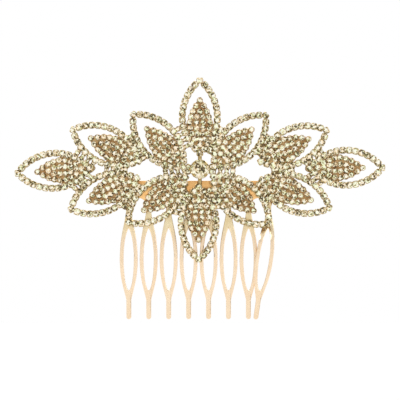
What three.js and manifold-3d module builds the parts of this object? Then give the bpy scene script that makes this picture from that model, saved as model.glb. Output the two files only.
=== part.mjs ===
// A gold-plated hair comb with a rhinestone ornament of twelve leaf-shaped petals.
// Six petals stand round a large stone and three more make a half flower at each end.
// Millimetres. +X runs along the ornament, +Z is up and the teeth point down.
// The front of the ornament faces -Y. The origin is at the roots of the teeth, in the
// middle of the ornament's length and of the comb's thickness.
import * as THREE from 'three';
import { mergeVertices } from 'three/addons/utils/BufferGeometryUtils.js';
import Module from 'manifold-3d';

// ---- Driving dimensions ----

// Petals: a cup chain bent to a petal, measured along the middle of the chain, round a
// paved leaf. The pulls are where each side's curve aims, as shares of length and half width.
const PETAL = { length: 23.4, halfWidth: 5.7, nearPull: [0.15, 0.9], farPull: [0.635, 1.707] };
const LEAF = { length: 16.4, halfWidth: 4.1, nearPull: [0.36, 1.33], farPull: [0.655, 1.34] };
const LEAF_POINT = 5.3; // distance of the leaf's point from the petal's point

// Rhinestones and their cups
const CHAIN_WIDTH = 2.25;
const CHAIN_STONES = 26; // in the chain round one petal
const LEAF_EDGE_STONES = 14; // round the edge of one leaf
const LEAF_PLATE_CORNERS = 20;
const CUP_DEPTH = 1.1;
const STONE_DEPTH = 0.8;
const STONE_INSET = 0.1; // the stones are this much narrower than their cups, each side
const SCALLOP = 0.4; // how far the line of stones narrows between two stones

// Large round stone where the six middle petals meet. Depths are measured forwards from
// the ornament's back.
const CENTRE_STONE = { x: 0, z: 9.3, radius: 2.85, tableRadius: 1.6, height: 2.45, sides: 8 };
const CENTRE_CUP = { footRadius: 2.2, rimRadius: 3.3, wall: 0.25, floor: 0.8, rimDepth: 2.7 };
const CENTRE_PAVILION_DEPTH = 1.3;
const CENTRE_PAVILION_TIP = 0.9;
const CENTRE_GIRDLE = 0.2;

// Bars of the centre setting that reach to the petals round it, as thick as its floor
const SIDE_BAR = { left: -4.2, right: 3.65, halfHeight: 1.4 };
const UPRIGHT_BAR = { bottom: 4.95, top: 13.15, halfWidth: 0.8 };

// Comb, stamped from one sheet
const COMB_THICKNESS = 1.2;
const COMB_CENTRE_X = -0.4;
const PLATE_WIDTH = 47.6;
const PLATE_HEIGHT = 5.6;
const PLATE_CORNER = 1.2;
const TOOTH_COUNT = 8;
const TOOTH_PITCH = 6.48;
const NECK_HALF_WIDTH = 0.85;
const STEM_HALF_WIDTH = 0.8;
const TOOTH_ROOT = 1; // how far a tooth is drawn up into the plate
const TOOTH_END = -39.4;
const TOOTH_SWEEP = 2.5; // how far the tooth ends curve back towards the head

// A tooth's loop and the eye inside it, from the top down. Each aim is where a curve heads
// before it reaches its next point, as a height or as [half width, height].
const LOOP = {
  neckEnd: -4.5,
  neckAim: [1.2, -8.5],
  shoulderAim: -12,
  halfWidth: 2.92,
  widest: -20,
  hipAim: -26,
  stemAim: [1.6, -29.5],
  stemTop: -33,
};
const EYE = {
  top: -9.7,
  topAim: [1, -11.5],
  shoulderAim: -15,
  halfWidth: 1.67,
  widest: -20,
  hipAim: -25,
  bottomAim: 0.84,
  bottom: -30,
};

// The last tooth is bent out of line and crosses in front of its neighbour
const BENT_TOOTH = TOOTH_COUNT - 1;
const BENT_FROM = -9;
const BENT_LEAN = 0.137;
const BENT_FORWARD = 1.7;
const BENT_FORWARD_OVER = 5;

// Solder that joins the ornament to the comb and the flowers to each other
const SOLDER_THICKNESS = 0.4;
const SOLDER_BEAD_RADIUS = 1.3;
const SOLDER_PAD_RADIUS = 2.2;
const FLOWER_PAD_RADIUS = 1.5;
const SOLDER_EDGE = 0.9; // radius of a bead's flat faces, as a share of its own
const SIDE_PAD_ALONG = 17; // distance of the comb's side pads from the lower petals' points
const CENTRE_PAD_ALONG = 20.5; // distance of its middle pad from the bottom petal's point

const FIT_GAP = 0.3; // clearance left between pieces that touch

// How finely curves are drawn
const MERGE_DISTANCE = 1e-4;
const PLATE_CURVE_STEPS = 8;
const TOOTH_CURVE_STEPS = 8;
const CUP_SIDES = 24;
const BEAD_SIDES = 12;

// ---- Depths, measured along Y from the middle of the comb's sheet ----

const SOLDER_BACK = -COMB_THICKNESS / 2 - FIT_GAP;
const ORNAMENT_BACK = SOLDER_BACK - SOLDER_THICKNESS - FIT_GAP;
const STONE_BACK = ORNAMENT_BACK - CUP_DEPTH - FIT_GAP;

// ---- Where each petal's point is, and the way it points in degrees from +X ----

const PETALS = [
  { name: 'top', x: 0, z: 37.9, heading: 90 },
  { name: 'bottom', x: -0.4, z: -19.8, heading: -90 },
  { name: 'upper_left', x: -21.4, z: 26.9, heading: 133.5 },
  { name: 'upper_right', x: 21.2, z: 26.6, heading: 45 },
  { name: 'lower_left', x: -23, z: -7.8, heading: -141.5 },
  { name: 'lower_right', x: 22.2, z: -8.2, heading: -40.5 },
  { name: 'outer_upper_left', x: -40.9, z: 22, heading: 154.5 },
  { name: 'outer_upper_right', x: 40.8, z: 21.8, heading: 25.5 },
  { name: 'outer_lower_left', x: -41.5, z: -3.6, heading: -154.5 },
  { name: 'outer_lower_right', x: 41.7, z: -3.1, heading: -22.5 },
  { name: 'end_left', x: -58.8, z: 8, heading: -176 },
  { name: 'end_right', x: 58.9, z: 9.8, heading: 0 },
];

// ---- Materials ----

function plating() {
  return new THREE.MeshStandardMaterial({ color: 0xe8b878, roughness: 0.25, metalness: 1 });
}

function castSetting() {
  return new THREE.MeshStandardMaterial({ color: 0xc99a5a, roughness: 0.35, metalness: 1 });
}

function rhinestone() {
  return new THREE.MeshStandardMaterial({ color: 0xd8cda6, roughness: 0.05, metalness: 0.2 });
}

function solder() {
  return new THREE.MeshStandardMaterial({ color: 0xb98f52, roughness: 0.5, metalness: 1 });
}

// ---- Solid joins ----

const wasm = await Module();
wasm.setup();

function toSolid(geometry) {
  const bare = geometry.clone();
  bare.deleteAttribute('normal');
  bare.deleteAttribute('uv');
  const merged = mergeVertices(bare, MERGE_DISTANCE);
  return new wasm.Manifold(new wasm.Mesh({
    numProp: 3,
    vertProperties: new Float32Array(merged.attributes.position.array),
    triVerts: new Uint32Array(merged.index.array),
  }));
}

function toGeometry(solid) {
  const mesh = solid.getMesh();
  const geometry = new THREE.BufferGeometry();
  geometry.setAttribute('position', new THREE.BufferAttribute(mesh.vertProperties, 3));
  geometry.setIndex(new THREE.BufferAttribute(mesh.triVerts, 1));
  geometry.computeVertexNormals();
  return geometry;
}

// ---- Petal and leaf outlines ----
// An outline lies in the shape's own plane with its point at the origin and its base at
// (length, 0). One cubic curve makes each side.

function outlineSide({ length, halfWidth, nearPull, farPull }) {
  return new THREE.CubicBezierCurve(
    new THREE.Vector2(0, 0),
    new THREE.Vector2(nearPull[0] * length, nearPull[1] * halfWidth),
    new THREE.Vector2(farPull[0] * length, farPull[1] * halfWidth),
    new THREE.Vector2(length, 0),
  );
}

// Points evenly spaced round the whole outline, anticlockwise from its point.
function outlineLoop(outline, count) {
  const side = outlineSide(outline).getSpacedPoints(count / 2);
  const mirrored = side.map((point) => new THREE.Vector2(point.x, -point.y));
  return [...mirrored, ...side.slice(1, -1).reverse()];
}

// Moves each point of a loop sideways by offsetAt(index). Positive is outwards.
function offsetLoop(loop, offsetAt) {
  return loop.map((point, index) => {
    const before = loop[(index + loop.length - 1) % loop.length];
    const after = loop[(index + 1) % loop.length];
    const along = after.clone().sub(before).normalize();
    return new THREE.Vector2(along.y, -along.x).multiplyScalar(offsetAt(index)).add(point);
  });
}

function extrude(shape, depth, curveSegments = PLATE_CURVE_STEPS) {
  return new THREE.ExtrudeGeometry(shape, { depth, curveSegments, bevelEnabled: false });
}

function ring(outer, inner) {
  const shape = new THREE.Shape(outer);
  shape.holes.push(new THREE.Path(inner));
  return shape;
}

// ---- Petal pieces ----

function petalChain() {
  const loop = outlineLoop(PETAL, CHAIN_STONES);
  const outer = offsetLoop(loop, () => CHAIN_WIDTH / 2);
  const inner = offsetLoop(loop, () => -CHAIN_WIDTH / 2);
  return extrude(ring(outer, inner), CUP_DEPTH);
}

// Full width at every stone and narrower between two stones.
function stoneReach(index) {
  const stone = index % 2 === 0;
  return CHAIN_WIDTH / 2 - STONE_INSET - (stone ? 0 : SCALLOP);
}

function petalChainStones() {
  const loop = outlineLoop(PETAL, 2 * CHAIN_STONES);
  const outer = offsetLoop(loop, stoneReach);
  const inner = offsetLoop(loop, (index) => -stoneReach(index));
  return extrude(ring(outer, inner), STONE_DEPTH);
}

function leafSetting() {
  const loop = outlineLoop(LEAF, LEAF_PLATE_CORNERS);
  return extrude(new THREE.Shape(loop), CUP_DEPTH);
}

function leafStones() {
  const loop = outlineLoop(LEAF, 2 * LEAF_EDGE_STONES);
  const scalloped = offsetLoop(loop, (index) => stoneReach(index) - CHAIN_WIDTH / 2);
  return extrude(new THREE.Shape(scalloped), STONE_DEPTH);
}

// ---- Centre stone, turned about the axis that points out of the ornament's front ----

function centreCup() {
  const { footRadius, rimRadius, wall, floor, rimDepth } = CENTRE_CUP;
  const seat = floor + CENTRE_PAVILION_DEPTH;
  const profile = [
    new THREE.Vector2(0, 0),
    new THREE.Vector2(footRadius, 0),
    new THREE.Vector2(rimRadius, seat),
    new THREE.Vector2(rimRadius, rimDepth),
    new THREE.Vector2(rimRadius - wall, rimDepth),
    new THREE.Vector2(rimRadius - wall, seat),
    new THREE.Vector2(CENTRE_PAVILION_TIP, floor),
    new THREE.Vector2(0, floor),
  ];
  return new THREE.LatheGeometry(profile, CUP_SIDES);
}

// A flat bar, drawn as the cup is: its front towards +Y, and up along -Z.
function centreBar(left, right, bottom, top) {
  const { x, z } = CENTRE_STONE;
  const bar = new THREE.BoxGeometry(right - left, CENTRE_CUP.floor, top - bottom);
  bar.translate((left + right) / 2 - x, CENTRE_CUP.floor / 2, z - (bottom + top) / 2);
  return toSolid(bar);
}

function centreSetting() {
  const { z } = CENTRE_STONE;
  const { halfHeight } = SIDE_BAR;
  const { halfWidth } = UPRIGHT_BAR;
  const side = centreBar(SIDE_BAR.left, SIDE_BAR.right, z - halfHeight, z + halfHeight);
  const upright = centreBar(-halfWidth, halfWidth, UPRIGHT_BAR.bottom, UPRIGHT_BAR.top);
  return toGeometry(toSolid(centreCup()).add(side).add(upright));
}

// A foil-backed stone: a cone behind, a thin girdle, and a crown with a flat table.
function centreStone() {
  const { radius, tableRadius, height, sides } = CENTRE_STONE;
  const girdle = CENTRE_PAVILION_DEPTH;
  const profile = [
    new THREE.Vector2(0, 0),
    new THREE.Vector2(CENTRE_PAVILION_TIP, 0),
    new THREE.Vector2(radius, girdle),
    new THREE.Vector2(radius, girdle + CENTRE_GIRDLE),
    new THREE.Vector2(tableRadius, height),
    new THREE.Vector2(0, height),
  ];
  return new THREE.LatheGeometry(profile, sides);
}

// ---- Comb ----
// Drawn in its own X and Z, then given its thickness along Y.

function toothX(index) {
  return COMB_CENTRE_X + (index - (TOOTH_COUNT - 1) / 2) * TOOTH_PITCH;
}

function plateShape() {
  const halfWidth = PLATE_WIDTH / 2;
  const archRadius = TOOTH_PITCH / 2 - NECK_HALF_WIDTH;
  const left = COMB_CENTRE_X - halfWidth;
  const right = COMB_CENTRE_X + halfWidth;
  const shape = new THREE.Shape();
  shape.moveTo(left, -archRadius);
  for (let index = 0; index < TOOTH_COUNT - 1; index += 1) {
    const archCentre = toothX(index) + TOOTH_PITCH / 2;
    shape.lineTo(archCentre - archRadius, -archRadius);
    shape.absarc(archCentre, -archRadius, archRadius, Math.PI, 0, true);
  }
  shape.lineTo(right, -archRadius);
  shape.absarc(right - PLATE_CORNER, PLATE_HEIGHT - PLATE_CORNER, PLATE_CORNER, 0, Math.PI / 2);
  shape.absarc(
    left + PLATE_CORNER, PLATE_HEIGHT - PLATE_CORNER, PLATE_CORNER, Math.PI / 2, Math.PI,
  );
  shape.closePath();
  return shape;
}

// One looped tooth, centred on x = 0, reaching up into the plate.
function toothShape() {
  const { neckEnd, neckAim, shoulderAim, halfWidth, widest, hipAim, stemAim, stemTop } = LOOP;
  const neck = NECK_HALF_WIDTH;
  const stem = STEM_HALF_WIDTH;
  const stemEnd = TOOTH_END + stem;
  const shape = new THREE.Shape();
  shape.moveTo(neck, TOOTH_ROOT);
  shape.lineTo(-neck, TOOTH_ROOT);
  shape.lineTo(-neck, neckEnd);
  shape.bezierCurveTo(-neckAim[0], neckAim[1], -halfWidth, shoulderAim, -halfWidth, widest);
  shape.bezierCurveTo(-halfWidth, hipAim, -stemAim[0], stemAim[1], -stem, stemTop);
  shape.lineTo(-stem, stemEnd);
  shape.absarc(0, stemEnd, stem, Math.PI, 2 * Math.PI, false);
  shape.lineTo(stem, stemTop);
  shape.bezierCurveTo(stemAim[0], stemAim[1], halfWidth, hipAim, halfWidth, widest);
  shape.bezierCurveTo(halfWidth, shoulderAim, neckAim[0], neckAim[1], neck, neckEnd);
  shape.closePath();
  shape.holes.push(eyeHole());
  return shape;
}

function eyeHole() {
  const { top, topAim, shoulderAim, halfWidth, widest, hipAim, bottomAim, bottom } = EYE;
  const hole = new THREE.Path();
  hole.moveTo(0, top);
  hole.bezierCurveTo(topAim[0], topAim[1], halfWidth, shoulderAim, halfWidth, widest);
  hole.bezierCurveTo(halfWidth, hipAim, bottomAim, bottom, 0, bottom);
  hole.bezierCurveTo(-bottomAim, bottom, -halfWidth, hipAim, -halfWidth, widest);
  hole.bezierCurveTo(-halfWidth, shoulderAim, -topAim[0], topAim[1], 0, top);
  return hole;
}

// Turns a sheet drawn in X and Y into one that stands in X and Z, centred on Y = 0.
function standSheet(geometry) {
  geometry.translate(0, 0, -COMB_THICKNESS / 2);
  geometry.rotateX(Math.PI / 2);
  return geometry;
}

function moveVertices(geometry, move) {
  const position = geometry.attributes.position;
  const point = new THREE.Vector3();
  for (let index = 0; index < position.count; index += 1) {
    move(point.fromBufferAttribute(position, index));
    position.setXYZ(index, point.x, point.y, point.z);
  }
  return geometry;
}

function bendTooth(point) {
  const below = Math.max(0, BENT_FROM - point.z);
  point.x -= BENT_LEAN * below;
  point.y -= BENT_FORWARD * THREE.MathUtils.smoothstep(below, 0, BENT_FORWARD_OVER);
}

// The teeth curve gently back so that they follow the head.
function sweepBack(point) {
  const below = Math.max(0, BENT_FROM / 2 - point.z) / (BENT_FROM / 2 - TOOTH_END);
  point.y += TOOTH_SWEEP * below * below;
}

function tooth(index) {
  const geometry = standSheet(extrude(toothShape(), COMB_THICKNESS, TOOTH_CURVE_STEPS));
  geometry.translate(toothX(index), 0, 0);
  if (index === BENT_TOOTH) {
    moveVertices(geometry, bendTooth);
  }
  return moveVertices(geometry, sweepBack);
}

function comb() {
  let solid = toSolid(standSheet(extrude(plateShape(), COMB_THICKNESS)));
  for (let index = 0; index < TOOTH_COUNT; index += 1) {
    solid = solid.add(toSolid(tooth(index)));
  }
  return toGeometry(solid);
}

// ---- Solder ----

// A low bead, flat on both faces and rounded at its edge.
function solderBead(radius) {
  const profile = [
    new THREE.Vector2(0, 0),
    new THREE.Vector2(SOLDER_EDGE * radius, 0),
    new THREE.Vector2(radius, SOLDER_THICKNESS / 2),
    new THREE.Vector2(SOLDER_EDGE * radius, SOLDER_THICKNESS),
    new THREE.Vector2(0, SOLDER_THICKNESS),
  ];
  return new THREE.LatheGeometry(profile, BEAD_SIDES);
}

// ---- Assembly ----

const ornament = new THREE.Group();

function addMesh(name, geometry, material) {
  const mesh = new THREE.Mesh(geometry, material);
  mesh.name = name;
  ornament.add(mesh);
  return mesh;
}

// A point at a distance from a petal's point, along its middle.
function alongPetal(petal, distance) {
  const heading = THREE.MathUtils.degToRad(petal.heading);
  return new THREE.Vector2(
    petal.x - distance * Math.cos(heading),
    petal.z - distance * Math.sin(heading),
  );
}

// Lays a flat piece, drawn from a petal's point to its base, in the petal's place.
function layInPetal(mesh, petal, back, distance = 0) {
  const place = alongPetal(petal, distance);
  mesh.rotation.set(Math.PI / 2, 0, 0);
  mesh.rotateZ(THREE.MathUtils.degToRad(petal.heading + 180));
  mesh.position.set(place.x, back, place.y);
}

function addPetal(petal) {
  const chain = addMesh(`${petal.name}_cup_chain`, petalChain(), plating());
  layInPetal(chain, petal, ORNAMENT_BACK);
  const chainStones = addMesh(`${petal.name}_chain_stones`, petalChainStones(), rhinestone());
  layInPetal(chainStones, petal, STONE_BACK);
  const leaf = addMesh(`${petal.name}_leaf_setting`, leafSetting(), castSetting());
  layInPetal(leaf, petal, ORNAMENT_BACK, LEAF_POINT);
  const stones = addMesh(`${petal.name}_leaf_stones`, leafStones(), rhinestone());
  layInPetal(stones, petal, STONE_BACK, LEAF_POINT);
}

// Stands a turned piece on the plane y = back with its axis pointing out of the front.
function standOut(mesh, x, z, back) {
  mesh.rotation.x = Math.PI;
  mesh.position.set(x, back, z);
}

function addCentreStone() {
  const { x, z } = CENTRE_STONE;
  const stoneBack = ORNAMENT_BACK - CENTRE_CUP.floor - FIT_GAP;
  standOut(addMesh('centre_setting', centreSetting(), castSetting()), x, z, ORNAMENT_BACK);
  standOut(addMesh('centre_stone', centreStone(), rhinestone()), x, z, stoneBack);
}

function petalNamed(name) {
  return PETALS.find((petal) => petal.name === name);
}

function chainPoints(petal) {
  const heading = THREE.MathUtils.degToRad(petal.heading + 180);
  const place = new THREE.Vector2(petal.x, petal.z);
  return outlineLoop(PETAL, 2 * CHAIN_STONES)
    .map((point) => point.rotateAround(new THREE.Vector2(), heading).add(place));
}

// Midway between the nearest points of two petals' chains.
function meetingPoint(first, second) {
  let nearest = Infinity;
  let middle = null;
  for (const a of chainPoints(first)) {
    for (const b of chainPoints(second)) {
      if (a.distanceTo(b) < nearest) {
        nearest = a.distanceTo(b);
        middle = a.clone().add(b).multiplyScalar(0.5);
      }
    }
  }
  return middle;
}

function addSolder(name, place, radius) {
  const bead = addMesh(name, solderBead(radius), solder());
  standOut(bead, place.x, place.y, SOLDER_BACK);
}

function addSolderJoints() {
  for (const side of ['left', 'right']) {
    const sidePad = alongPetal(petalNamed(`lower_${side}`), SIDE_PAD_ALONG);
    addSolder(`comb_solder_${side}`, sidePad, SOLDER_PAD_RADIUS);
    const endBase = alongPetal(petalNamed(`end_${side}`), PETAL.length);
    addSolder(`flower_solder_${side}`, endBase, FLOWER_PAD_RADIUS);
    for (const level of ['upper', 'lower']) {
      const inner = petalNamed(`${level}_${side}`);
      const outer = petalNamed(`outer_${level}_${side}`);
      addSolder(`${level}_solder_${side}`, meetingPoint(inner, outer), SOLDER_BEAD_RADIUS);
    }
  }
  const centrePad = alongPetal(petalNamed('bottom'), CENTRE_PAD_ALONG);
  addSolder('comb_solder_centre', centrePad, SOLDER_PAD_RADIUS);
}

addMesh('comb', comb(), plating());
PETALS.forEach(addPetal);
addCentreStone();
addSolderJoints();

export default ornament;
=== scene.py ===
"""A decorative hair comb with a rhinestone ornament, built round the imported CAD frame.

Metres, +X along the ornament, +Z up, front towards -Y. Twelve petals of cup chain and
paved leaves, small stones and webs that join them, a large stone in the middle, solder
behind, and a stamped comb.
"""

import math
import random

import bmesh
import bpy
import numpy as np
from mathutils import Matrix, Vector


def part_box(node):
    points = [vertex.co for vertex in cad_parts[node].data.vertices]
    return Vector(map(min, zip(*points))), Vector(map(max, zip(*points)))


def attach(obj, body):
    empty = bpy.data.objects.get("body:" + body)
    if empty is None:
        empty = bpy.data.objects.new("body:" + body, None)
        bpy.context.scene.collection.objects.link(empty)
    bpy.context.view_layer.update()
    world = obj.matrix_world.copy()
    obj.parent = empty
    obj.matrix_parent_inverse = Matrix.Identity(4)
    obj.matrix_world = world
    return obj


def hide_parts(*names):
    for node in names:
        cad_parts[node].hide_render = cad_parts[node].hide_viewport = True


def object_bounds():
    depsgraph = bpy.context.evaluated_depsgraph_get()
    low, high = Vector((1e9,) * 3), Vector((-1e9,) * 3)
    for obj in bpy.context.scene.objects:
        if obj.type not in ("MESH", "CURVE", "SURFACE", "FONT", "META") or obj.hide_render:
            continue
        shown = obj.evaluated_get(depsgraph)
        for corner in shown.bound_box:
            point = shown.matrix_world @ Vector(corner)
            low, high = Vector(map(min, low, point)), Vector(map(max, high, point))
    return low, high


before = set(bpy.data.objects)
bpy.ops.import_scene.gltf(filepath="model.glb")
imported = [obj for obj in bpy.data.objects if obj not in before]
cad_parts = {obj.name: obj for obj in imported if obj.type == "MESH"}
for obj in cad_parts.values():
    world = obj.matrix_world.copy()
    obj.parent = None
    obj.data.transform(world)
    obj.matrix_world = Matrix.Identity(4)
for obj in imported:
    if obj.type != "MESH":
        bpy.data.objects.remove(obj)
box_after_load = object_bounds()

draw = random.Random(20)
MM = 0.001
FULL_TURN = 2 * math.pi

# ---- Driving proportions ----

# Each side of a petal or leaf is one cubic curve. The pulls are shares of its length and
# half width.
PETAL_PULLS = ((0.15, 0.9), (0.635, 1.707))
LEAF_PULLS = ((0.36, 1.33), (0.655, 1.34))
CURVE_STEPS = 400
ON_AXIS = 0.01 * MM  # CAD corners this near a petal's axis are on it
ONE_CORNER = 0.1 * MM  # and those this near its tip are the tip's

# Stones, as shares of their own radius unless another is named
STONE_SHARE = 0.9  # of the cup's radius
TABLE_SHARE = 0.56
BREAK_SHARE = 0.8  # where the crown's facets meet
BREAK_LIFT = 1.12  # how much higher they meet than on a straight slope
CROWN_SHARE = 0.5
GIRDLE_SHARE = 0.06
PAVILION_SHARE = 0.75
FACET_SIDES = 8
STONE_TILT = math.radians(4)

# Tones of facets, painted light that stands in for the stones' sparkle, from 0 for painted shade
# to 1 for a painted flash of light
TABLE_TONE = 0.65
STAR_TONE = 0.35
CROWN_TONE = 0.5
HIDDEN_TONE = 0.1
TONE_SPREAD = 0.7
PLAIN_RANGE = (0.0, 0.95)
BRIGHT_RANGE = (0.55, 1.0)
BRIGHT_STONES = 0.13  # share of the stones whose facets get brighter painted highlights

# Cups, as shares of their radius
CUP_SIDES = 16
CUP_WALL_SHARE = 0.1
CUP_FOOT_SHARE = 0.72
SQUARENESS = 0.75  # how near a square a square cup comes
CLAW_WIDTH = 0.42
CLAW_REACH = 0.34
SQUARE_SPREAD = 0.16  # how much further out a square cup's claws stand
CLAWS = 4
LEAF_CLAWS = 5
SMALL_CLAWS = 3

# The chain round a petal
CHAIN_SEATS = 26
CHAIN_FIT = 0.99  # share of the pitch that a cup fills
CHAIN_SQUARE = 0.8  # from 0 for round cups to 1 for square ones
LINK_WIDTH = 0.8  # as a share of a cup's radius

# The leaf inside a petal
LEAF_ROWS = 9
LEAF_CUP_SCALE = 0.88  # its cups' radius as a share of the chain's
ROW_PITCH = 0.95  # distance between cups in a row, as a share of their width
ROW_SQUEEZE = 0.45  # how far short of a whole cup a row may be and still take it
PLATE_STEPS = 28
PLATE_JOINS = 0.55  # where its plate widens to the chain, as a share of the petal
PLATE_INSET = 0.2  # of a cup's radius
PLATE_DEPTH = 0.7  # of a cup's depth

# Small stones and webs between the petals, as shares of a chain cup's radius
JOINT_REACH = 3.5  # how far apart two cups may be and still be joined
JOINT_OVERLAP = 0.8
JOINT_CUP_SHARE = 0.8
JOINT_SPACING = 1.5  # least distance between two, as a share of the new one's radius
SMALLEST_STONE = 0.3
WEB_WIDTH = 1.6

# The middle stone and its cup, as shares of the cup's radius unless another is named
CENTRE_STONE_SCALE = 1.08  # of its CAD stone's radius
CENTRE_CUP_SCALE = 1.03  # of its stone's radius
CENTRE_TURN = math.radians(12)
CENTRE_BAR_DEPTH = 0.5  # of the cup's depth
SIDE_BAR_HALF = 0.42
UPRIGHT_HALF = 0.2
UPRIGHT_REACH = 0.3  # how far it goes on past the CAD bars
BESIDE_SHARE = 0.3  # radius of the four small cups beside it
BESIDE_OUT = 0.6  # how far past the large cup they stand, as a share of their radius
BESIDE_LIFT = 0.9  # how far above and below the middle, as a share of their radius
CENTRE_TABLE_TONE = 0.25
CENTRE_CROWN_TONE = 0.62
CENTRE_SHADE = 0.45  # how much darker the painted shade makes its crown towards its top
CENTRE_SPREAD = 0.2

# A solder bead's outline from back to front, as shares of its radius and thickness
BEAD_OUTLINE = ((0.6, -0.9), (0.92, -0.45), (1.0, 0.1), (0.98, 0.75), (0.94, 1.3), (0.6, 1.45))
BEAD_SIDES = 28
BEAD_WAVES = 3
BEAD_WAVE_SIZE = (0.02, 0.06)

# The comb
NECK_HEIGHT = -6 * MM  # below it the teeth are apart
BENT_SIDE = 0.83  # corners beyond this share of the comb's right are the bent tooth's
BENT_BOTTOM = -14.2 * MM  # below it the bent tooth's extra shift stays the same
BOTH_FACES = 0.9  # corners this share of the thickness apart are on the sheet's two faces
COMB_STRIPS = 60
SAME_PLACE = 0.002 * MM  # corners nearer than this are one corner
SHORT_EDGE = 0.08 * MM  # edges shorter than this would spoil the rounding
NO_EDGE = 0.001 * MM  # edges shorter than this are left over from the cuts
FLAT_ANGLE = math.radians(0.5)  # faces that meet at less are one flat face
EDGE_ANGLE = 0.9  # in radians, and the sheet's own edges are sharper
EDGE_ROUNDING = 0.2 * MM
ROUNDING_STEPS = 3
ROUND = 0.5  # the bevel profile that is an arc
SHARP_ANGLE = math.radians(38)  # where the shading still shows an edge

# Heights where the plating's colour changes from the teeth to their necks, and where painted
# reflection turns it orange on the plate
TOOTH_FADE = (-14 * MM, -8 * MM)
PLATE_BOUNCE_FADE = (-3 * MM, 1 * MM)

CUP_SHADE_SHARE = 0.5  # the painted shade in the cups is full at this share of their depth
COLOUR_SOCKETS = (6, 7, 2)  # a Mix node's two colours in and its colour out

# Studio: each light's place from the comb's middle, its size, and its power in watts
LIGHTS = {
    "key": ((-0.35, -0.6, 0.5), (0.4, 0.4), 2.5),
    "fill": ((0.6, -0.45, 0.1), (0.3, 0.6), 1.2),
    "back": ((0.1, 0.7, 0.5), (0.6, 0.4), 3.0),
}
SEEN_WHITE = 1.0
LIT_WHITE = 0.75
FLOOR_HALF = 0.6
FLOOR_DROP = 35 * MM
LENS = 200  # in millimetres, as is the sensor's width
SENSOR = 36
FRAME_MARGIN = 1.0735  # picture's width as a share of the ornament's
FRAME_DROP = 0.007  # how far the picture's middle is below the comb's, in half widths


# ---- Mesh building ----


class Pile:
    """Points and faces that make one piece, with a tone for each face."""

    def __init__(self):
        self.points = []
        self.faces = []
        self.tones = []
        self.smooth = []

    def add(self, points, faces, place, tones=None, smooth=False):
        start = len(self.points)
        self.points += [place @ Vector(point) for point in points]
        self.faces += [[start + corner for corner in face] for face in faces]
        self.tones += tones if tones else [0.5] * len(faces)
        self.smooth += [smooth] * len(faces)

    def piece(self, name, material, slot, *nodes):
        mesh = bpy.data.meshes.new(name)
        mesh.from_pydata(self.points, [], self.faces)
        mesh.polygons.foreach_set("use_smooth", self.smooth)
        tone = mesh.attributes.new("tone", "FLOAT", "FACE")
        tone.data.foreach_set("value", self.tones)
        mesh.materials.append(material)
        return finish_piece(mesh, name, slot, *nodes)


def finish_piece(mesh, name, slot, *nodes):
    """Puts a mesh in the scene as the piece that stands for these CAD nodes."""
    mesh.update()
    thing = bpy.data.objects.new(name, mesh)
    bpy.context.scene.collection.objects.link(thing)
    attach(thing, "root")
    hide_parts(*nodes)
    return thing


def ring(radius, height, sides, turn=0.0):
    """Corners of a regular polygon round the z axis."""
    step = FULL_TURN / sides
    return [
        (radius * math.cos(turn + i * step), radius * math.sin(turn + i * step), height)
        for i in range(sides)
    ]


def turned(profile, sides):
    """Points and faces of a closed turned shape. Its profile is (radius, height) pairs
    from the axis at the back, outwards and round to the axis at the front. A third number
    swells the corners, from 0 for a round to 1 for a square."""
    points = [(0.0, 0.0, profile[0][1])]
    for radius, height, *square in profile[1:-1]:
        power = 2 / (1 - SQUARENESS * (square[0] if square else 0))
        for x, y, z in ring(1, height, sides):
            swell = (abs(x) ** power + abs(y) ** power) ** (-1 / power)
            points.append((radius * swell * x, radius * swell * y, z))
    points.append((0.0, 0.0, profile[-1][1]))
    last = len(points) - 1
    faces = []
    for i in range(sides):
        j = (i + 1) % sides
        faces.append((0, 1 + j, 1 + i))
        for level in range(len(profile) - 3):
            low = 1 + level * sides
            high = low + sides
            faces.append((low + i, low + j, high + j, high + i))
        top = 1 + (len(profile) - 3) * sides
        faces.append((last, top + i, top + j))
    return points, faces


def lofted(sections):
    """Points and faces of a solid through sections that each have the same corners."""
    count = len(sections[0])
    points = [point for section in sections for point in section]
    faces = [tuple(reversed(range(count)))]
    for level in range(len(sections) - 1):
        low = level * count
        high = low + count
        for i in range(count):
            j = (i + 1) % count
            faces.append((low + i, low + j, high + j, high + i))
    end = (len(sections) - 1) * count
    faces.append(tuple(range(end, end + count)))
    return points, faces


def standing(place, heading, depth, tilt=0.0, tilt_way=0.0):
    """Places a shape whose own z points out of the ornament's front. place is (x, z),
    heading turns it in the ornament's plane and depth is the y of its z = 0."""
    along = Vector((math.cos(heading), 0, math.sin(heading)))
    out = Vector((0, -1, 0))
    side = out.cross(along)
    turn = Matrix((along, side, out)).transposed().to_4x4()
    lean = Matrix.Rotation(tilt, 4, (math.cos(tilt_way), math.sin(tilt_way), 0))
    return Matrix.Translation((place[0], depth, place[1])) @ turn @ lean


# ---- What the frame says about each petal ----


def corners_of(node):
    """A CAD node's corners, each of them once."""
    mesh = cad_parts[node].data
    flat = np.empty(3 * len(mesh.vertices))
    mesh.vertices.foreach_get("co", flat)
    return np.unique(flat.reshape(-1, 3).round(7), axis=0)


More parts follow.
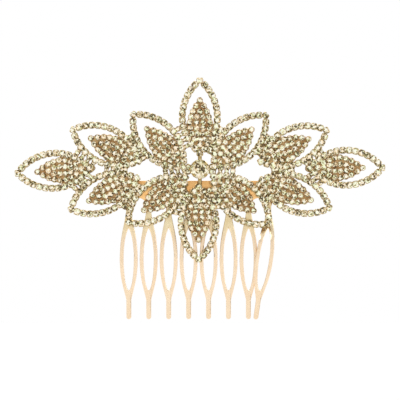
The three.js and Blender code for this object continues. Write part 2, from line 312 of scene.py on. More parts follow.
class Outline:
    """One side of a petal or leaf. Its other side is the mirror image."""

    def __init__(self, start, end, reach, pulls):
        self.start = start
        self.length = end - start
        (near_x, near_y), (far_x, far_y) = pulls
        t = np.linspace(0, 1, CURVE_STEPS + 1)
        near = 3 * (1 - t) ** 2 * t
        far = 3 * (1 - t) * t**2
        self.x = start + self.length * (near * near_x + far * far_x + t**3)
        across = near * near_y + far * far_y
        self.y = reach * across / across.max()
        steps = np.hypot(np.diff(self.x), np.diff(self.y))
        self.travel = np.concatenate(([0], np.cumsum(steps)))

    def at(self, share):
        """Place along the petal's axis, distance from the axis and direction, that share
        of the way along this side."""
        way = share * self.travel[-1]
        small = self.travel[-1] / 100
        x = np.interp(way, self.travel, self.x)
        y = np.interp(way, self.travel, self.y)
        before = max(way - small, 0)
        after = min(way + small, self.travel[-1])
        dx = np.interp(after, self.travel, self.x) - np.interp(before, self.travel, self.x)
        dy = np.interp(after, self.travel, self.y) - np.interp(before, self.travel, self.y)
        return float(x), float(y), math.atan2(dy, dx)

    def width_at(self, x):
        """Distance from the axis to this side, at a place along the axis."""
        return float(np.interp(x, self.x, self.y))


class Petal:
    """A petal's axis, outlines and depths, measured from its CAD nodes."""

    def __init__(self, name):
        self.name = name
        chain = corners_of(f"{name}_cup_chain")
        leaf = corners_of(f"{name}_leaf_setting")
        middle = chain[:, [0, 2]].mean(0)
        inward = leaf[:, [0, 2]].mean(0) - middle
        self.inward = inward / np.linalg.norm(inward)
        self.heading = math.atan2(self.inward[1], self.inward[0])
        self.across = np.array((-self.inward[1], self.inward[0]))
        self.origin = middle
        along, aside = self.measure(chain)
        on_axis = np.sort(along[np.abs(aside) < ON_AXIS])
        outer_tip = on_axis[0]
        inner_tip = on_axis[on_axis > outer_tip + ONE_CORNER][0]
        self.cup_radius = (inner_tip - outer_tip) / 2
        reach = aside.max() - self.cup_radius
        start = outer_tip + self.cup_radius
        end = on_axis[-1] - self.cup_radius
        self.chain = Outline(start, end, reach, PETAL_PULLS)
        along, aside = self.measure(leaf)
        self.leaf = Outline(along.min(), along.max(), aside.max(), LEAF_PULLS)
        self.back = chain[:, 1].max()
        self.rim = chain[:, 1].min()
        stones = corners_of(f"{name}_chain_stones")
        self.girdle = stones[:, 1].max()

    def measure(self, corners):
        """How far corners are along the axis, inwards from the petal's middle, and across."""
        offset = corners[:, [0, 2]] - self.origin
        return offset @ self.inward, offset @ self.across

    def place(self, along, aside):
        """The (x, z) of what is this far along the axis and across it."""
        return self.origin + along * self.inward + aside * self.across

    def chain_seats(self):
        """(place, heading) of every cup in the chain, in order round the petal."""
        half = CHAIN_SEATS // 2
        seats = []
        for i in range(CHAIN_SEATS):
            side = 1 if i <= half else -1
            share = (i if i <= half else CHAIN_SEATS - i) / half
            along, aside, way = self.chain.at(share)
            turn = 0 if i in (0, half) else side * way
            seats.append((self.place(along, side * aside), self.heading + turn))
        return seats

    def paved_half_width(self, along, edge):
        """Half the width that the leaf's cups fill: the leaf's own outline, less an edge,
        and towards the petal's base all the room inside the chain, plus that edge."""
        free = max(self.leaf.width_at(along) - edge, 0)
        inside_chain = max(self.chain.width_at(along) - self.cup_radius + edge, 0)
        joined = self.chain.start + PLATE_JOINS * self.chain.length
        share = min(max((along - joined) / self.cup_radius, 0), 1)
        return free + share * (inside_chain - free)

    def leaf_seats(self, radius):
        """Places of the leaf's cups, in rows across it."""
        first = self.leaf.start + radius
        last = self.leaf.start + self.leaf.length - radius
        seats = []
        for row in range(LEAF_ROWS):
            along = first + (last - first) * row / (LEAF_ROWS - 1)
            room = max(self.paved_half_width(along, 0) - radius, 0)
            count = 1 + int(room / (ROW_PITCH * radius) + ROW_SQUEEZE)
            pitch = 2 * room / (count - 1) if count > 1 else 0.0
            for i in range(count):
                seats.append(self.place(along, pitch * (i - (count - 1) / 2)))
        return seats


# ---- Stones and cups ----


def facet_tones(sides, bright):
    """A tone for each facet of one stone, painted highlights and shade that stand in for its
    sparkle. What shines through the table comes in three parts, and each of the crown's main
    facets has one tone."""
    low, high = BRIGHT_RANGE if bright else PLAIN_RANGE

    def glint(level):
        tone = level + draw.uniform(-TONE_SPREAD, TONE_SPREAD)
        return min(high, max(low, tone))

    parts = [glint(TABLE_TONE) for _ in range(3)]
    table = [parts[3 * i // sides] for i in range(sides)]
    star = [glint(STAR_TONE) for _ in range(sides)]
    mains = [glint(CROWN_TONE) for _ in range(sides)]
    kite = [mains[i] for i in range(sides) for _ in range(2)]
    edge = [(mains[(i + 1) // 2 % sides] + glint(CROWN_TONE)) / 2 for i in range(2 * sides)]
    hidden = [HIDDEN_TONE] * (4 * sides)
    return table + star + kite + edge + hidden


def brilliant(radius, sides):
    """Points and faces of a round brilliant with its girdle's front edge at height 0."""
    half_step = math.pi / sides
    crown = CROWN_SHARE * radius
    edge = GIRDLE_SHARE * radius
    at_break = crown * (1 - BREAK_SHARE) / (1 - TABLE_SHARE) * BREAK_LIFT
    points = [(0, 0, crown)]
    points += ring(TABLE_SHARE * radius, crown, sides)
    points += ring(BREAK_SHARE * radius, at_break, sides, half_step)
    points += ring(radius, 0, 2 * sides)
    points += ring(radius, -edge, 2 * sides)
    points.append((0, 0, -edge - PAVILION_SHARE * radius))
    table = 1
    middle = table + sides
    girdle = middle + sides
    back = girdle + 2 * sides
    tip = len(points) - 1
    faces = []
    for i in range(sides):
        faces.append((0, table + i, table + (i + 1) % sides))
    for i in range(sides):
        faces.append((table + i, middle + i, table + (i + 1) % sides))
    for i in range(sides):
        before = middle + (i - 1) % sides
        faces.append((table + i, before, girdle + 2 * i))
        faces.append((table + i, girdle + 2 * i, middle + i))
    for i in range(sides):
        faces.append((middle + i, girdle + 2 * i, girdle + 2 * i + 1))
        faces.append((middle + i, girdle + 2 * i + 1, girdle + (2 * i + 2) % (2 * sides)))
    for i in range(2 * sides):
        j = (i + 1) % (2 * sides)
        faces.append((girdle + i, back + i, back + j, girdle + j))
    for i in range(2 * sides):
        j = (i + 1) % (2 * sides)
        faces.append((tip, back + j, back + i))
    return points, faces


def add_stone(pile, place, radius, depth):
    """One stone, turned and tilted by chance, with its girdle at this depth."""
    tilt = draw.uniform(0, STONE_TILT)
    heading = draw.uniform(0, math.pi)
    tilt_way = draw.uniform(0, FULL_TURN)
    # Some stones get brighter painted highlights on their facets.
    bright = draw.random() < BRIGHT_STONES
    points, faces = brilliant(radius, FACET_SIDES)
    where = standing(place, heading, depth, tilt, tilt_way)
    pile.add(points, faces, where, facet_tones(FACET_SIDES, bright))


def cup_profile(radius, depth, square):
    """Half of a cup's section, from the middle of its foot, up its outside and down inside."""
    wall = CUP_WALL_SHARE * radius
    foot = CUP_FOOT_SHARE * radius
    inner = radius - wall
    return [
        (0, 0),
        (0.85 * foot, 0),
        (foot, 0.1 * depth),
        (radius, 0.6 * depth, square),
        (radius, 0.94 * depth, square),
        (radius - 0.4 * wall, depth, square),
        (inner, 0.96 * depth, 0.3 * square),
        (inner, 0.6 * depth),
        (0.7 * foot, 0.25 * depth),
        (0, 0.25 * depth),
    ]


def add_claw(pile, where, radius, depth, turn, width, reach):
    """One claw, from the cup's wall up and over the edge of its stone. Each step has its
    distance out, its height, its share of the width and its thickness in radii."""
    steps = [
        (radius * 0.97, 0.5 * depth, 1.0, 0.13),
        (radius * 0.98, depth, 1.0, 0.13),
        (radius * 0.93, depth + 0.55 * reach, 0.85, 0.12),
        (radius * 0.79, depth + reach, 0.6, 0.08),
    ]
    sections = []
    for out, height, share, thick in steps:
        half = share * width / 2
        near = out - thick * radius
        corners = [(near, -half), (out, -half), (out, half), (near, half)]
        sections.append([(x, y, height) for x, y in corners])
    points, faces = lofted(sections)
    pile.add(points, faces, where @ Matrix.Rotation(turn, 4, "Z"))


def add_cup(pile, place, heading, radius, back, depth, claws=CLAWS, square=0.0, short=1.0):
    """A cup and its claws. short draws it in along its heading, to fit a tight chain."""
    where = standing(place, heading, back) @ Matrix.Diagonal((short, 1, 1, 1))
    points, faces = turned(cup_profile(radius, depth, square), CUP_SIDES)
    pile.add(points, faces, where, smooth=True)
    spread = 1 + SQUARE_SPREAD * square
    width = CLAW_WIDTH * radius
    reach = CLAW_REACH * radius
    for i in range(claws):
        turn = (2 * i + 1) * math.pi / claws
        add_claw(pile, where, spread * radius, depth, turn, width, reach)


def add_link(pile, first, second, back, depth, width):
    """The flat bar that joins two cups, wide at its ends and narrow between."""
    start = Vector((first[0], 0, first[1]))
    end = Vector((second[0], 0, second[1]))
    way = end - start
    heading = math.atan2(way.z, way.x)
    where = standing(first, heading, back)
    length = way.length
    sections = []
    for share, wide in ((0.15, 1.0), (0.5, 0.7), (0.85, 1.0)):
        x = share * length
        half = wide * width / 2
        sections.append(
            [
                (x, -half, 0.15 * depth),
                (x, half, 0.15 * depth),
                (x, 0.8 * half, 0.45 * depth),
                (x, -0.8 * half, 0.45 * depth),
            ]
        )
    points, faces = lofted(sections)
    pile.add(points, faces, where)


# ---- Pieces ----


def petal_chain(petal):
    """The cups and stones of the chain round a petal."""
    cups = Pile()
    stones = Pile()
    seats = petal.chain_seats()
    radius = petal.cup_radius
    pitch = petal.chain.travel[-1] / (CHAIN_SEATS / 2)
    short = CHAIN_FIT * pitch / (2 * radius)
    back = petal.back
    depth = back - petal.rim
    for i, (place, heading) in enumerate(seats):
        add_cup(cups, place, heading, radius, back, depth, square=CHAIN_SQUARE, short=short)
        following = seats[(i + 1) % len(seats)][0]
        add_link(cups, place, following, back, depth, LINK_WIDTH * radius)
        add_stone(stones, place, STONE_SHARE * radius, petal.girdle)
    name = petal.name
    cups.piece(f"{name}_cups", chain_plating(), "chain_plating", f"{name}_cup_chain")
    stones.piece(f"{name}_chain_rhinestones", rhinestone(), "rhinestone", f"{name}_chain_stones")


def add_leaf_plate(pile, petal, inset, thickness):
    """The leaf's backing: a little inside its cups near the point, and under the edge of
    the chain round the petal's base, which it holds."""
    start = petal.leaf.start + inset
    end = petal.chain.start + petal.chain.length
    side = []
    for i in range(PLATE_STEPS + 1):
        along = start + (end - start) * (1 - math.cos(math.pi * i / PLATE_STEPS)) / 2
        side.append((along, petal.paved_half_width(along, inset)))
    loop = side + [(along, -aside) for along, aside in side[-2:0:-1]]
    middle = sum(along for along, _ in side) / len(side)
    sections = []
    for size, height in ((0.97, 0.15), (1.0, 0.4), (0.97, 1)):
        sections.append(
            [
                (middle + size * (along - middle), -size * aside, height * thickness)
                for along, aside in loop
            ]
        )
    points, faces = lofted(sections)
    where = standing(petal.origin, petal.heading, petal.back)
    pile.add(points, faces, where)


def petal_leaf(petal):
    """The leaf inside a petal: its plate, cups and stones."""
    setting = Pile()
    stones = Pile()
    radius = LEAF_CUP_SCALE * petal.cup_radius
    depth = petal.back - petal.rim
    add_leaf_plate(setting, petal, PLATE_INSET * radius, PLATE_DEPTH * depth)
    for place in petal.leaf_seats(radius):
        turn = draw.uniform(0, math.pi)
        add_cup(setting, place, turn, radius, petal.back, depth, LEAF_CLAWS)
        add_stone(stones, place, STONE_SHARE * radius, petal.girdle)
    name = petal.name
    setting.piece(f"{name}_leaf_cups", cast_setting(), "cast_setting", f"{name}_leaf_setting")
    stones.piece(f"{name}_leaf_rhinestones", rhinestone(), "rhinestone", f"{name}_leaf_stones")


def joint_seats(petals):
    """(place, radius, first cup, second cup) of the small stones that fill the gaps between
    neighbouring petals' chains, where two cups are almost close enough to touch."""
    cups = [(petal, Vector(place)) for petal in petals for place, _ in petal.chain_seats()]
    cup_radius = petals[0].cup_radius
    pairs = []
    for i, (petal, place) in enumerate(cups):
        for other, facing in cups[i + 1:]:
            apart = (facing - place).length
            if other is not petal and apart < JOINT_REACH * cup_radius:
                pairs.append((apart, place, facing))
    seats = []
    for _, place, facing in sorted(pairs, key=lambda pair: pair[0]):
        middle = (place + facing) / 2
        room = min((middle - cup).length for _, cup in cups) - JOINT_OVERLAP * cup_radius
        taken = min(((middle - seat).length for seat, *_ in seats), default=math.inf)
        radius = min(room, JOINT_CUP_SHARE * cup_radius)
        if taken > JOINT_SPACING * radius:
            seats.append((middle, radius, place, facing))
    return seats


def petal_joints(petals):
    """Solder webs and small stones where the petals' chains meet."""
    webs = Pile()
    stones = Pile()
    petal = petals[0]
    back = petal.back
    depth = back - petal.rim
    width = WEB_WIDTH * petal.cup_radius
    for place, radius, first, second in joint_seats(petals):
        add_link(webs, first, second, back, depth, width)
        if radius > SMALLEST_STONE * petal.cup_radius:
            turn = draw.uniform(0, math.pi)
            add_cup(webs, place, turn, radius, back, depth, SMALL_CLAWS)
            add_stone(stones, place, STONE_SHARE * radius, petal.girdle)
    webs.piece("joint_webs", cast_setting(), "cast_setting")
    stones.piece("joint_rhinestones", rhinestone(), "rhinestone")


def add_bar(pile, start, end, half, back, thick):
    """A flat bar with rounded long edges, from one (x, z) place to another."""
    way = Vector((end[0] - start[0], 0, end[1] - start[1]))
    where = standing(start, math.atan2(way.z, way.x), back)
    sections = []
    for share, swell in ((0, 0.85), (0.08, 1), (0.92, 1), (1, 0.85)):
        x = share * way.length
        wide = swell * half
        sections.append(
            [
                (x, -wide, 0.3 * thick),
                (x, -0.8 * wide, 0.15 * thick),
                (x, 0.8 * wide, 0.15 * thick),
                (x, wide, 0.3 * thick),
                (x, wide, 0.7 * thick),
                (x, 0.7 * wide, thick),
                (x, -0.7 * wide, thick),
                (x, -wide, 0.7 * thick),
            ]
        )
    points, faces = lofted(sections)
    pile.add(points, faces, where)


def centre_tones(points, faces, where, radius):
    """Tones of the large stone's facets, painted light: painted shade across the table, and on
    the crown a painted highlight that gets brighter from the top down, where it catches the
    light."""
    tones = []
    for face in faces:
        middle = sum((where @ Vector(points[corner]) for corner in face), Vector()) / len(face)
        offset = middle - where.translation
        above = offset.z / radius
        outward = math.hypot(offset.x, offset.z) / radius
        on_table = outward < TABLE_SHARE
        level = CENTRE_TABLE_TONE if on_table else CENTRE_CROWN_TONE - CENTRE_SHADE * above
        tone = level + draw.uniform(-CENTRE_SPREAD, CENTRE_SPREAD)
        tones.append(min(1.0, max(0.0, tone)))
    return tones


def add_centre_bars(pile, place, radius, back, thick):
    """The bars that reach from the middle cup to the petals round it."""
    low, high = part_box("centre_setting")
    ends = ((low.x, place[1]), (high.x, place[1]))
    add_bar(pile, *ends, SIDE_BAR_HALF * radius, back, thick)
    reach = UPRIGHT_REACH * radius
    ends = ((place[0], low.z - reach), (place[0], high.z + reach))
    add_bar(pile, *ends, UPRIGHT_HALF * radius, back, thick)


def add_stones_beside(setting, stones, place, radius, back, depth):
    """Two small clawed stones at each side of the large one."""
    small = BESIDE_SHARE * radius
    out = radius + BESIDE_OUT * small
    for side in (-1, 1):
        for lift in (-BESIDE_LIFT, BESIDE_LIFT):
            seat = (place[0] + side * out, place[1] + lift * small)
            add_cup(setting, seat, 0, small, back, depth, SMALL_CLAWS)
            add_stone(stones, seat, STONE_SHARE * small, back - depth)


def centre_stone():
    """The large stone in its clawed cup, with bars and small stones round it."""
    low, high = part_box("centre_stone")
    place = ((low.x + high.x) / 2, (low.z + high.z) / 2)
    stone_radius = CENTRE_STONE_SCALE * (high.x - low.x) / 2
    radius = CENTRE_CUP_SCALE * stone_radius
    girdle = low.y + CROWN_SHARE * stone_radius
    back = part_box("centre_setting")[1].y
    depth = back - girdle
    setting = Pile()
    stones = Pile()
    add_cup(setting, place, 0, radius, back, depth)
    add_centre_bars(setting, place, radius, back, CENTRE_BAR_DEPTH * depth)
    add_stones_beside(setting, stones, place, radius, back, depth / 2)
    points, faces = brilliant(stone_radius, FACET_SIDES)
    where = standing(place, CENTRE_TURN, girdle)
    stones.add(points, faces, where, centre_tones(points, faces, where, stone_radius))
    setting.piece("centre_cup", chain_plating(), "chain_plating", "centre_setting")
    stones.piece("centre_rhinestone", rhinestone(), "rhinestone", "centre_stone")


def wavy(angle, waves):
    """How far out a bead's edge is at this angle, as a share of its plain radius."""
    return 1 + sum(
        size * math.sin((order + 2) * angle + turn) for order, (turn, size) in enumerate(waves)
    )


def solder_bead(node):
    """A flattened blob between the pieces that it joins, a little uneven at its edge."""
    low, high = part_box(node)
    radius = (high.x - low.x) / 2
    thick = high.y - low.y
    waves = [
        (draw.uniform(0, FULL_TURN), draw.uniform(*BEAD_WAVE_SIZE)) for _ in range(BEAD_WAVES)
    ]
    angles = [FULL_TURN * i / BEAD_SIDES for i in range(BEAD_SIDES)]
    sections = []
    for share, height in BEAD_OUTLINE:
        section = []
        for angle in angles:
            out = share * radius * wavy(angle, waves)
            section.append((out * math.cos(angle), out * math.sin(angle), height * thick))
        sections.append(section)
    points, faces = lofted(sections)
    pile = Pile()
    place = ((low.x + high.x) / 2, (low.z + high.z) / 2)
    pile.add(points, faces, standing(place, 0, high.y), smooth=True)
    pile.piece(f"{node}_bead", solder(), "solder", node)


def sheet_middles(corners, thickness):
    """(heights, middles of the sheet's thickness) where corners lie on both its faces."""
    heights = corners[:, 2].round(6)
    levels = []
    middles = []
    for level in np.unique(heights):
        depths = corners[heights == level, 1]
        if np.ptp(depths) > BOTH_FACES * thickness:
            levels.append(level)
            middles.append((depths.min() + depths.max()) / 2)
    return levels, middles


def tooth_of(start):
    """Every corner joined to this one below the teeth's necks."""
    found = {start}
    queue = [start]
    while queue:
        for edge in queue.pop().link_edges:
            for corner in edge.verts:
                if corner.co.z < NECK_HEIGHT and corner not in found:
                    found.add(corner)
                    queue.append(corner)
    return found


def flatten_or_bend(work, way):
    """Takes the teeth's sweep and the last tooth's bend out of the sheet with way = -1, and
    puts them back in with way = 1. Both are measured from the CAD comb."""
    corners = corners_of("comb")
    left = corners[:, 0].min()
    right = corners[:, 0].max()
    on_plate = corners[corners[:, 2] > 0]
    thickness = np.ptp(on_plate[:, 1])
    plain = sheet_middles(corners[corners[:, 0] < (left + right) / 2], thickness)
    last_tooth = corners[(corners[:, 0] > BENT_SIDE * right) & (corners[:, 2] < 0)]
    bent = sheet_middles(last_tooth, thickness)
    work.verts.ensure_lookup_table()
    below = [corner for corner in work.verts if corner.co.z < NECK_HEIGHT]
    last = tooth_of(max(below, key=lambda corner: corner.co.x))
    for corner in work.verts:
        shift = np.interp(corner.co.z, *plain)
        if corner in last:
            kept_height = max(corner.co.z, BENT_BOTTOM)
            shift += np.interp(kept_height, *bent) - np.interp(kept_height, *plain)
        corner.co.y += way * shift


def round_edges(work):
    """Rounds the sheet's edges, once what would spoil the rounding is merged away."""
    bmesh.ops.dissolve_limit(
        work, angle_limit=FLAT_ANGLE, verts=work.verts, edges=work.edges
    )
    bmesh.ops.dissolve_degenerate(work, dist=SHORT_EDGE, edges=work.edges)
    sharp = [
        edge
        for edge in work.edges
        if len(edge.link_faces) == 2 and edge.calc_face_angle() > EDGE_ANGLE
    ]
    bmesh.ops.bevel(
        work, geom=sharp, offset=EDGE_ROUNDING, segments=ROUNDING_STEPS, profile=ROUND,
        affect="EDGES", clamp_overlap=False,
    )


def cut_in_strips(work):
    """Cuts the teeth across, so that they can bend."""
    lowest = min(corner.co.z for corner in work.verts)
    for strip in range(1, COMB_STRIPS):
        height = lowest * strip / COMB_STRIPS
        everything = work.verts[:] + work.edges[:] + work.faces[:]
        bmesh.ops.bisect_plane(
            work, geom=everything, plane_co=(0, 0, height), plane_no=(0, 0, 1)
        )


def comb():
    """The CAD comb with the soft edges that stamping and plating leave. They are made
    while it is flat, and it is bent again afterwards."""
    mesh = bpy.data.meshes.new("comb_plated")
    work = bmesh.new()
    work.from_mesh(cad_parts["comb"].data)
    bmesh.ops.remove_doubles(work, verts=work.verts, dist=SAME_PLACE)
    flatten_or_bend(work, -1)
    round_edges(work)
    cut_in_strips(work)
    flatten_or_bend(work, 1)
    bmesh.ops.dissolve_degenerate(work, dist=NO_EDGE, edges=work.edges)
    loose = [corner for corner in work.verts if not corner.link_faces]
    bmesh.ops.delete(work, geom=loose, context="VERTS")
    work.to_mesh(mesh)
    work.free()
    mesh.materials.clear()
    mesh.materials.append(gold_plating())
    mesh.shade_smooth()
    mesh.set_sharp_from_angle(angle=SHARP_ANGLE)
    finish_piece(mesh, "comb_plated", "gold_plating", "comb")


# ---- Materials ----


class Finish:
    """A node material with helpers for the nodes that the finishes share."""

    def __init__(self, name):
        self.material = bpy.data.materials.new(name)
        self.material.use_nodes = True
        self.tree = self.material.node_tree
        self.shader = self.tree.nodes["Principled BSDF"]
        self.where = self.tree.nodes.new("ShaderNodeTexCoord").outputs["Object"]

    def set(self, **values):
        for key, value in values.items():
            self.shader.inputs[key.replace("_", " ")].default_value = value

    def link(self, output, target):
        self.tree.links.new(output, target)

    def node(self, kind, **inputs):
        made = self.tree.nodes.new(kind)
        for key, value in inputs.items():
            made.inputs[key.replace("_", " ")].default_value = value
        return made

    def noise(self, size, detail=3.0, stretch=(1, 1, 1)):
        """Noise with features about this many metres across."""
        place = self.node("ShaderNodeMapping")
        place.inputs["Scale"].default_value = stretch
        self.link(self.where, place.inputs["Vector"])
        made = self.node("ShaderNodeTexNoise", Scale=1 / size, Detail=detail)
        self.link(place.outputs["Vector"], made.inputs["Vector"])
        return made.outputs["Fac"]

    def ramp(self, value, *stops):
        """Colours for a value, from (position, colour) stops."""
        made = self.tree.nodes.new("ShaderNodeValToRGB")
        band = made.color_ramp
        while len(band.elements) < len(stops):
            band.elements.new(0.5)
        for element, (position, colour) in zip(band.elements, stops):
            element.position = position
            element.color = (*colour, 1)
        self.link(value, made.inputs["Fac"])
        return made.outputs["Color"]

    def spread(self, value, low, high, source=(0.0, 1.0)):
        """Maps a value between the source's limits onto low to high."""
        made = self.tree.nodes.new("ShaderNodeMapRange")
        made.inputs["From Min"].default_value = source[0]
        made.inputs["From Max"].default_value = source[1]
        made.inputs["To Min"].default_value = low
        made.inputs["To Max"].default_value = high
        self.link(value, made.inputs["Value"])
        return made.outputs["Result"]

    def mix(self, first, second):
        """A node that mixes two colours, and the colour that comes out of it."""
        made = self.tree.nodes.new("ShaderNodeMix")
        made.data_type = "RGBA"
        one, other, result = COLOUR_SOCKETS
        self.link(first, made.inputs[one])
        self.link(second, made.inputs[other])
        return made, made.outputs[result]

    def blend(self, share, first, second):
        """The first colour where share is 0 and the second where it is 1."""
        made, colour = self.mix(first, second)
        self.link(share, made.inputs["Factor"])
        return colour

    def multiply(self, first, second):
        made, colour = self.mix(first, second)
        made.blend_type = "MULTIPLY"
        made.inputs["Factor"].default_value = 1.0
        return colour

    def bump(self, height, depth, strength):
        made = self.node("ShaderNodeBump", Strength=strength, Distance=depth)
        self.link(height, made.inputs["Height"])
        self.link(made.outputs["Normal"], self.shader.inputs["Normal"])


def kept(make):
    """Each finish is made once and shared by all the pieces that have it."""
    made = {}

    def give():
        if make not in made:
            made[make] = make()
        return made[make]

    return give


@kept
def gold_plating():
    """Pale on the teeth, yellower on their necks and orange on the plate, where the orange is
    painted reflection of light bounced off the gold ornament.
    """
    finish = Finish("gold_plating")
    finish.set(Metallic=1.0)
    broad = finish.noise(6 * MM)
    pale = finish.ramp(broad, (0.3, (0.92, 0.71, 0.49)), (0.7, (0.95, 0.76, 0.55)))
    neck = finish.ramp(broad, (0.3, (0.93, 0.74, 0.42)), (0.7, (1.0, 0.86, 0.56)))
    # Painted reflection: the plate's deeper orange stands in for light bounced between it and
    # the gold ornament.
    plate_bounce = finish.ramp(broad, (0.3, (0.98, 0.50, 0.16)), (0.7, (1.0, 0.62, 0.26)))
    parts = finish.node("ShaderNodeSeparateXYZ")
    finish.link(finish.where, parts.inputs["Vector"])
    on_neck = finish.spread(parts.outputs["Z"], 0, 1, TOOTH_FADE)
    on_plate = finish.spread(parts.outputs["Z"], 0, 1, PLATE_BOUNCE_FADE)
    tooth = finish.blend(on_neck, pale, neck)
    finish.link(finish.blend(on_plate, tooth, plate_bounce), finish.shader.inputs["Base Color"])
    fine = finish.noise(0.25 * MM, 4.0, (1, 1, 0.12))
    finish.link(finish.spread(fine, 0.16, 0.34, (0.3, 0.7)), finish.shader.inputs["Roughness"])
    finish.bump(fine, 0.01 * MM, 0.5)
    return finish.material


def painted_cup_shade(finish):
    """Painted shade: 0 at the cups' rims, rising to 1 deeper in, where the cups lie in shade."""
    low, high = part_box("top_cup_chain")
    full = low.y + CUP_SHADE_SHARE * (high.y - low.y)
    parts = finish.node("ShaderNodeSeparateXYZ")
    finish.link(finish.where, parts.inputs["Vector"])
    return finish.spread(parts.outputs["Y"], 0, 1, (low.y, full))


@kept
def chain_plating():
    """The chains' gilt brass, dull, with painted shade darkening it inside the cups."""
    finish = Finish("chain_plating")
    finish.set(Metallic=1.0)
    patches = finish.noise(1.6 * MM, 4.0)
    colour = finish.ramp(
        patches,
        (0.3, (0.42, 0.28, 0.10)),
        (0.48, (0.66, 0.50, 0.22)),
        (0.65, (0.85, 0.70, 0.40)),
    )
    dark = finish.ramp(patches, (0.3, (0.16, 0.09, 0.03)), (0.7, (0.36, 0.23, 0.09)))
    # Painted shade: the colour turns dark deeper in, inside the cups.
    finish.link(finish.blend(painted_cup_shade(finish), colour, dark), finish.shader.inputs["Base Color"])
    fine = finish.noise(0.2 * MM)
    finish.link(finish.spread(fine, 0.18, 0.42, (0.3, 0.7)), finish.shader.inputs["Roughness"])
    finish.bump(fine, 0.015 * MM, 0.6)
    return finish.material


@kept
def cast_setting():
    """The leaves' cast metal, redder and rougher than the chains."""
    finish = Finish("cast_setting")
    finish.set(Metallic=1.0)
    patches = finish.noise(2.2 * MM, 4.0)
    colour = finish.ramp(
        patches,
        (0.3, (0.46, 0.22, 0.08)),
        (0.5, (0.72, 0.42, 0.17)),
        (0.68, (0.88, 0.62, 0.32)),
    )
    dark = finish.ramp(patches, (0.3, (0.22, 0.13, 0.05)), (0.7, (0.45, 0.31, 0.14)))
    # Painted shade: the colour turns dark deeper in, inside the cups.
    finish.link(finish.blend(painted_cup_shade(finish), colour, dark), finish.shader.inputs["Base Color"])
    grain = finish.noise(0.3 * MM, 5.0)
    finish.link(finish.spread(grain, 0.25, 0.5, (0.3, 0.7)), finish.shader.inputs["Roughness"])
    finish.bump(grain, 0.03 * MM, 0.7)
    return finish.material


@kept
def rhinestone():
    """Glass on foil. Its facets' tones and a fine noise choose its colour, painted highlights
    and shade that stand in for its sparkle, and a broader noise tints it."""
    finish = Finish("rhinestone")
    finish.set(Metallic=0.35, Coat_Weight=0.6, Coat_Roughness=0.02)
    tone = finish.tree.nodes.new("ShaderNodeAttribute")
    tone.attribute_name = "tone"
    # Painted glints: a fine noise shifts each facet's painted tone.
    glints = finish.noise(0.6 * MM, 1.5)
    shift = finish.spread(glints, -0.6, 0.6, (0.3, 0.7))
    total = finish.tree.nodes.new("ShaderNodeMath")
    total.operation = "ADD"
    finish.link(tone.outputs["Fac"], total.inputs[0])
    finish.link(shift, total.inputs[1])
    colour = finish.ramp(
        total.outputs["Value"],
        (0.05, (0.07, 0.045, 0.015)),
        (0.2, (0.26, 0.19, 0.08)),
        (0.38, (0.60, 0.50, 0.26)),
        (0.58, (0.90, 0.82, 0.58)),
        (0.82, (1.0, 0.98, 0.90)),
    )
    tint = finish.ramp(
        finish.noise(1.5 * MM, 1.0),
        (0.36, (0.93, 1.0, 0.80)),
        (0.5, (1.0, 1.0, 0.97)),
        (0.64, (1.0, 0.88, 0.74)),
    )
    tinted = finish.multiply(colour, tint)
    finish.link(tinted, finish.shader.inputs["Base Color"])
    finish.link(finish.spread(glints, 0.03, 0.12), finish.shader.inputs["Roughness"])
    return finish.material


@kept
def solder():
    """Dull gilt solder with a pitted skin."""
    finish = Finish("solder")
    finish.set(Metallic=1.0)
    patches = finish.noise(1.2 * MM, 4.0)
    colour = finish.ramp(patches, (0.3, (0.36, 0.24, 0.12)), (0.7, (0.58, 0.44, 0.26)))
    finish.link(colour, finish.shader.inputs["Base Color"])
    grain = finish.noise(0.5 * MM, 5.0)
    finish.link(finish.spread(grain, 0.35, 0.6, (0.3, 0.7)), finish.shader.inputs["Roughness"])
    finish.bump(grain, 0.06 * MM, 0.8)
    return finish.material


@kept
def floor_finish():
    finish = Finish("floor")
    cloud = finish.noise(40 * MM)
    colour = finish.ramp(cloud, (0.3, (0.86, 0.86, 0.85)), (0.7, (0.90, 0.90, 0.89)))
    finish.link(colour, finish.shader.inputs["Base Color"])
    finish.link(finish.spread(cloud, 0.7, 0.9), finish.shader.inputs["Roughness"])
    return finish.material


# ---- Studio ----


def floor(low):
    """A pale sheet well below the comb, which nothing touches."""
    half = FLOOR_HALF
    height = low.z - FLOOR_DROP
    mesh = bpy.data.meshes.new("floor")
    corners = [(-half, -half), (half, -half), (half, half), (-half, half)]
    mesh.from_pydata([(x, y, height) for x, y in corners], [], [(0, 1, 2, 3)])
    mesh.materials.append(floor_finish())
    plane = bpy.data.objects.new("floor", mesh)
    bpy.context.scene.collection.objects.link(plane)


def panel(name, place, target, size, power):
    """A soft studio light that faces the target."""
    light = bpy.data.lights.new(name, "AREA")
    light.shape = "RECTANGLE"
    light.size, light.size_y = size
    light.energy = power
    thing = bpy.data.objects.new(name, light)
    thing.location = place
    thing.rotation_euler = (target - place).to_track_quat("-Z", "Y").to_euler()
    bpy.context.scene.collection.objects.link(thing)
    thing.visible_camera = False


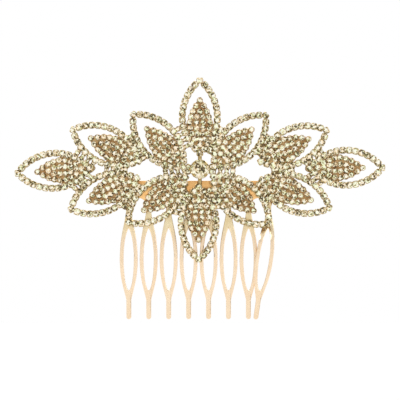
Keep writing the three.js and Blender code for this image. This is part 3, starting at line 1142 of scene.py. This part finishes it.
def background(tree, strength):
    made = tree.nodes.new("ShaderNodeBackground")
    made.inputs["Color"].default_value = (1, 1, 1, 1)
    made.inputs["Strength"].default_value = strength
    return made.outputs["Background"]


def white_world():
    """White where the camera sees it, and softer as a light."""
    world = bpy.data.worlds.new("studio")
    world.use_nodes = True
    tree = world.node_tree
    tree.nodes.clear()
    out = tree.nodes.new("ShaderNodeOutputWorld")
    path = tree.nodes.new("ShaderNodeLightPath")
    mix = tree.nodes.new("ShaderNodeMixShader")
    tree.links.new(path.outputs["Is Camera Ray"], mix.inputs["Fac"])
    tree.links.new(background(tree, LIT_WHITE), mix.inputs[1])
    tree.links.new(background(tree, SEEN_WHITE), mix.inputs[2])
    tree.links.new(mix.outputs["Shader"], out.inputs["Surface"])
    bpy.context.scene.world = world


def camera(low, high):
    """A long lens straight in front, framed a little wider than the ornament."""
    middle = (low + high) / 2
    data = bpy.data.cameras.new("camera")
    data.lens = LENS
    data.sensor_width = SENSOR
    half_frame = FRAME_MARGIN * (high.x - low.x) / 2
    distance = half_frame * LENS / (SENSOR / 2)
    thing = bpy.data.objects.new("camera", data)
    thing.location = (middle.x, low.y - distance, middle.z - FRAME_DROP * half_frame)
    thing.rotation_euler = (math.pi / 2, 0, 0)
    bpy.context.scene.collection.objects.link(thing)
    bpy.context.scene.camera = thing


def studio():
    """The floor, the white surroundings, the lights and the camera."""
    low, high = (Vector(corner) for corner in box_after_load)
    middle = (low + high) / 2
    floor(low)
    white_world()
    for name, (offset, size, power) in LIGHTS.items():
        panel(name, middle + Vector(offset), middle, size, power)
    camera(low, high)
    bpy.context.scene.view_settings.view_transform = "Standard"


# ---- Assembly ----

PETAL_NAMES = sorted(
    node.removesuffix("_cup_chain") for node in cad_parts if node.endswith("_cup_chain")
)
SOLDER_NAMES = sorted(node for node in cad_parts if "solder" in node)

petals = [Petal(name) for name in PETAL_NAMES]
for petal in petals:
    petal_chain(petal)
    petal_leaf(petal)
petal_joints(petals)
centre_stone()
for solder_name in SOLDER_NAMES:
    solder_bead(solder_name)
comb()
studio()
